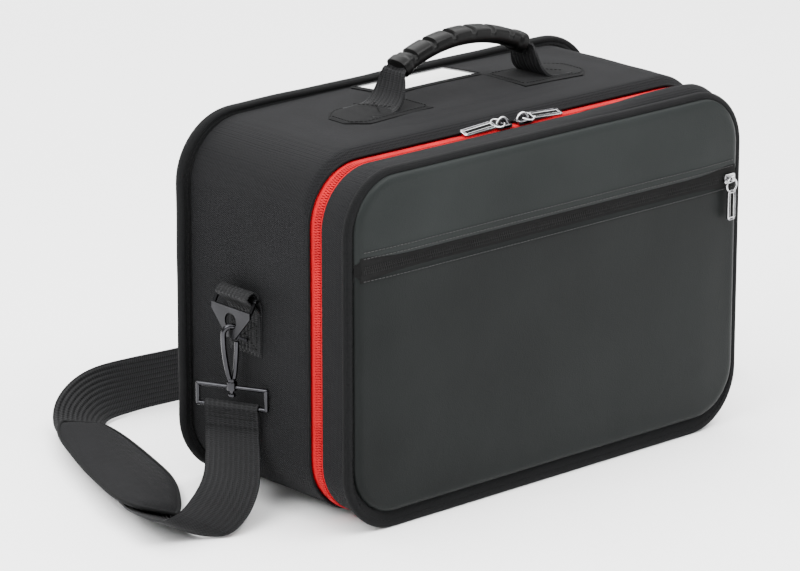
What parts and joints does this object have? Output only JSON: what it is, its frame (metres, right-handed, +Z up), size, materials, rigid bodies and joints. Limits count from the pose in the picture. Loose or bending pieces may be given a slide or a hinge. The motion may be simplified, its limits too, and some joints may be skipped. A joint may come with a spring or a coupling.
{
  "type": "flight bag",
  "caption": "Boarded flight bag in dark fabric with a red-zipped front lid, leatherette pocket panel, curved carry handle, label window and padded shoulder strap on swivel hooks.",
  "frame": {"origin": "on the floor, in the middle of the bag's width and of its whole depth, leatherette panel and pocket pull included", "axes": "+X to the bag's right as seen from the front, -Y out of the lid's leatherette face, +Z up"},
  "size_m": [0.652, 0.3803, 0.3556],
  "materials": {
    "outer_fabric": "ribbed charcoal polyester weave, matt",
    "binding": "ribbed black binding tape, matt",
    "board": "plain stiffener board",
    "lining": "smooth dark grey lining",
    "red_tape": "woven red tape, matt",
    "red_teeth": "coiled red monofilament, satin",
    "leatherette": "grained leatherette, semi-gloss",
    "foam": "open foam",
    "black_zip": "black zip tape, matt",
    "bright_metal": "polished plating",
    "dark_metal": "dark nickel plating, satin",
    "webbing": "ribbed black webbing",
    "grip_rubber": "moulded, softly polished",
    "buckle_plastic": "moulded black plastic",
    "clear_window": "clear film, glossy",
    "card": "plain white card"
  },
  "bodies": {
    "case": {"rear_panel": "outer_fabric", "rear_board": "board", "rear_binding": "binding", "case_gusset": "outer_fabric", "case_board": "board", "case_lining": "lining", "base_board": "board", "hinge_panel": "outer_fabric", "case_zip_tape": "red_tape", "case_zip_teeth": "red_teeth", "handle_patch_left": "binding", "handle_patch_right": "binding", "label_frame": "binding", "label_window": "clear_window", "label_card": "card", "anchor_left": "webbing", "anchor_right": "webbing", "strap_webbing": "webbing", "strap_return": "webbing", "strap_adjuster": "buckle_plastic", "shoulder_pad": "outer_fabric"},
    "lid": {"lid_gusset": "outer_fabric", "lid_board": "board", "lid_lining": "lining", "front_board": "board", "front_binding": "binding", "lid_zip_tape": "red_tape", "lid_zip_teeth": "red_teeth", "upper_panel": "leatherette", "upper_padding": "foam", "lower_panel": "leatherette", "pocket_lining": "lining", "pocket_zip_tape": "black_zip", "pocket_zip_teeth": "black_zip"},
    "handle": {"handle_webbing_left": "webbing", "handle_webbing_right": "webbing", "handle_grip": "grip_rubber"},
    "slider_left": {"slider_left": "bright_metal"},
    "slider_right": {"slider_right": "bright_metal"},
    "pull_left": {"pull_left": "bright_metal"},
    "pull_right": {"pull_right": "bright_metal"},
    "pocket_slider": {"pocket_slider": "bright_metal"},
    "pocket_pull": {"pocket_pull": "bright_metal"},
    "strap_end_left": {"ring_left": "dark_metal", "strap_loop_left": "bright_metal", "strap_end_left": "webbing"},
    "hook_left": {"hook_left": "dark_metal"},
    "gate_left": {"gate_left": "bright_metal"},
    "strap_end_right": {"ring_right": "dark_metal", "strap_loop_right": "bright_metal", "strap_end_right": "webbing"},
    "hook_right": {"hook_right": "dark_metal"},
    "gate_right": {"gate_right": "bright_metal"}
  },
  "joints": [
    {"name": "lid_hinge", "type": "hinge", "parent": "case", "child": "lid", "pos_m": [0, -0.0915, 0.006], "axis": [1, 0, 0], "range_deg": [0, 86]},
    {"name": "handle_swing", "type": "hinge", "parent": "case", "child": "handle", "pos_m": [0, 0.017, 0.3096], "axis": [1, 0, 0], "range_deg": [-50, 50]},
    {"name": "slider_left_run", "type": "slide", "parent": "case", "child": "slider_left", "axis": [-1, 0, 0], "range_m": [0, 0.135]},
    {"name": "slider_right_run", "type": "slide", "parent": "case", "child": "slider_right", "axis": [1, 0, 0], "range_m": [0, 0.15]},
    {"name": "pull_left_swing", "type": "hinge", "parent": "slider_left", "child": "pull_left", "pos_m": [-0.02, -0.0555, 0.294], "axis": [0, 1, 0], "range_deg": [0, 150]},
    {"name": "pull_right_swing", "type": "hinge", "parent": "slider_right", "child": "pull_right", "pos_m": [0.002, -0.0555, 0.294], "axis": [0, -1, 0], "range_deg": [0, 150]},
    {"name": "pocket_slider_run", "type": "slide", "parent": "lid", "child": "pocket_slider", "axis": [-1, 0, 0], "range_m": [0, 0.388]},
    {"name": "pocket_pull_swing", "type": "hinge", "parent": "pocket_slider", "child": "pocket_pull", "pos_m": [0.194, -0.102, 0.217], "axis": [-1, 0, 0], "range_deg": [0, 100]},
    {"name": "strap_left_swing", "type": "hinge", "parent": "case", "child": "strap_end_left", "pos_m": [-0.2245, 0.027, 0.174], "axis": [0, 1, 0], "range_deg": [0, 20]},
    {"name": "hook_left_swivel", "type": "hinge", "parent": "strap_end_left", "child": "hook_left", "pos_m": [-0.231, 0.027, 0.0999], "axis": [0, 0, 1], "range_deg": [0, 18]},
    {"name": "gate_left_spring", "type": "hinge", "parent": "hook_left", "child": "gate_left", "pos_m": [-0.2276, 0.02424, 0.13932], "axis": [-0.6293, -0.7771, 0], "range_deg": [0, 5], "stiffness_Nm_per_rad": 0.02},
    {"name": "strap_right_swing", "type": "hinge", "parent": "case", "child": "strap_end_right", "pos_m": [0.2245, 0.027, 0.174], "axis": [0, -1, 0], "range_deg": [0, 20]},
    {"name": "hook_right_swivel", "type": "hinge", "parent": "strap_end_right", "child": "hook_right", "pos_m": [0.231, 0.027, 0.0999], "axis": [0, 0, 1], "range_deg": [-18, 0]},
    {"name": "gate_right_spring", "type": "hinge", "parent": "hook_right", "child": "gate_right", "pos_m": [0.2276, 0.02424, 0.13932], "axis": [-0.6293, 0.7771, 0], "range_deg": [0, 5], "stiffness_Nm_per_rad": 0.02}
  ]
}
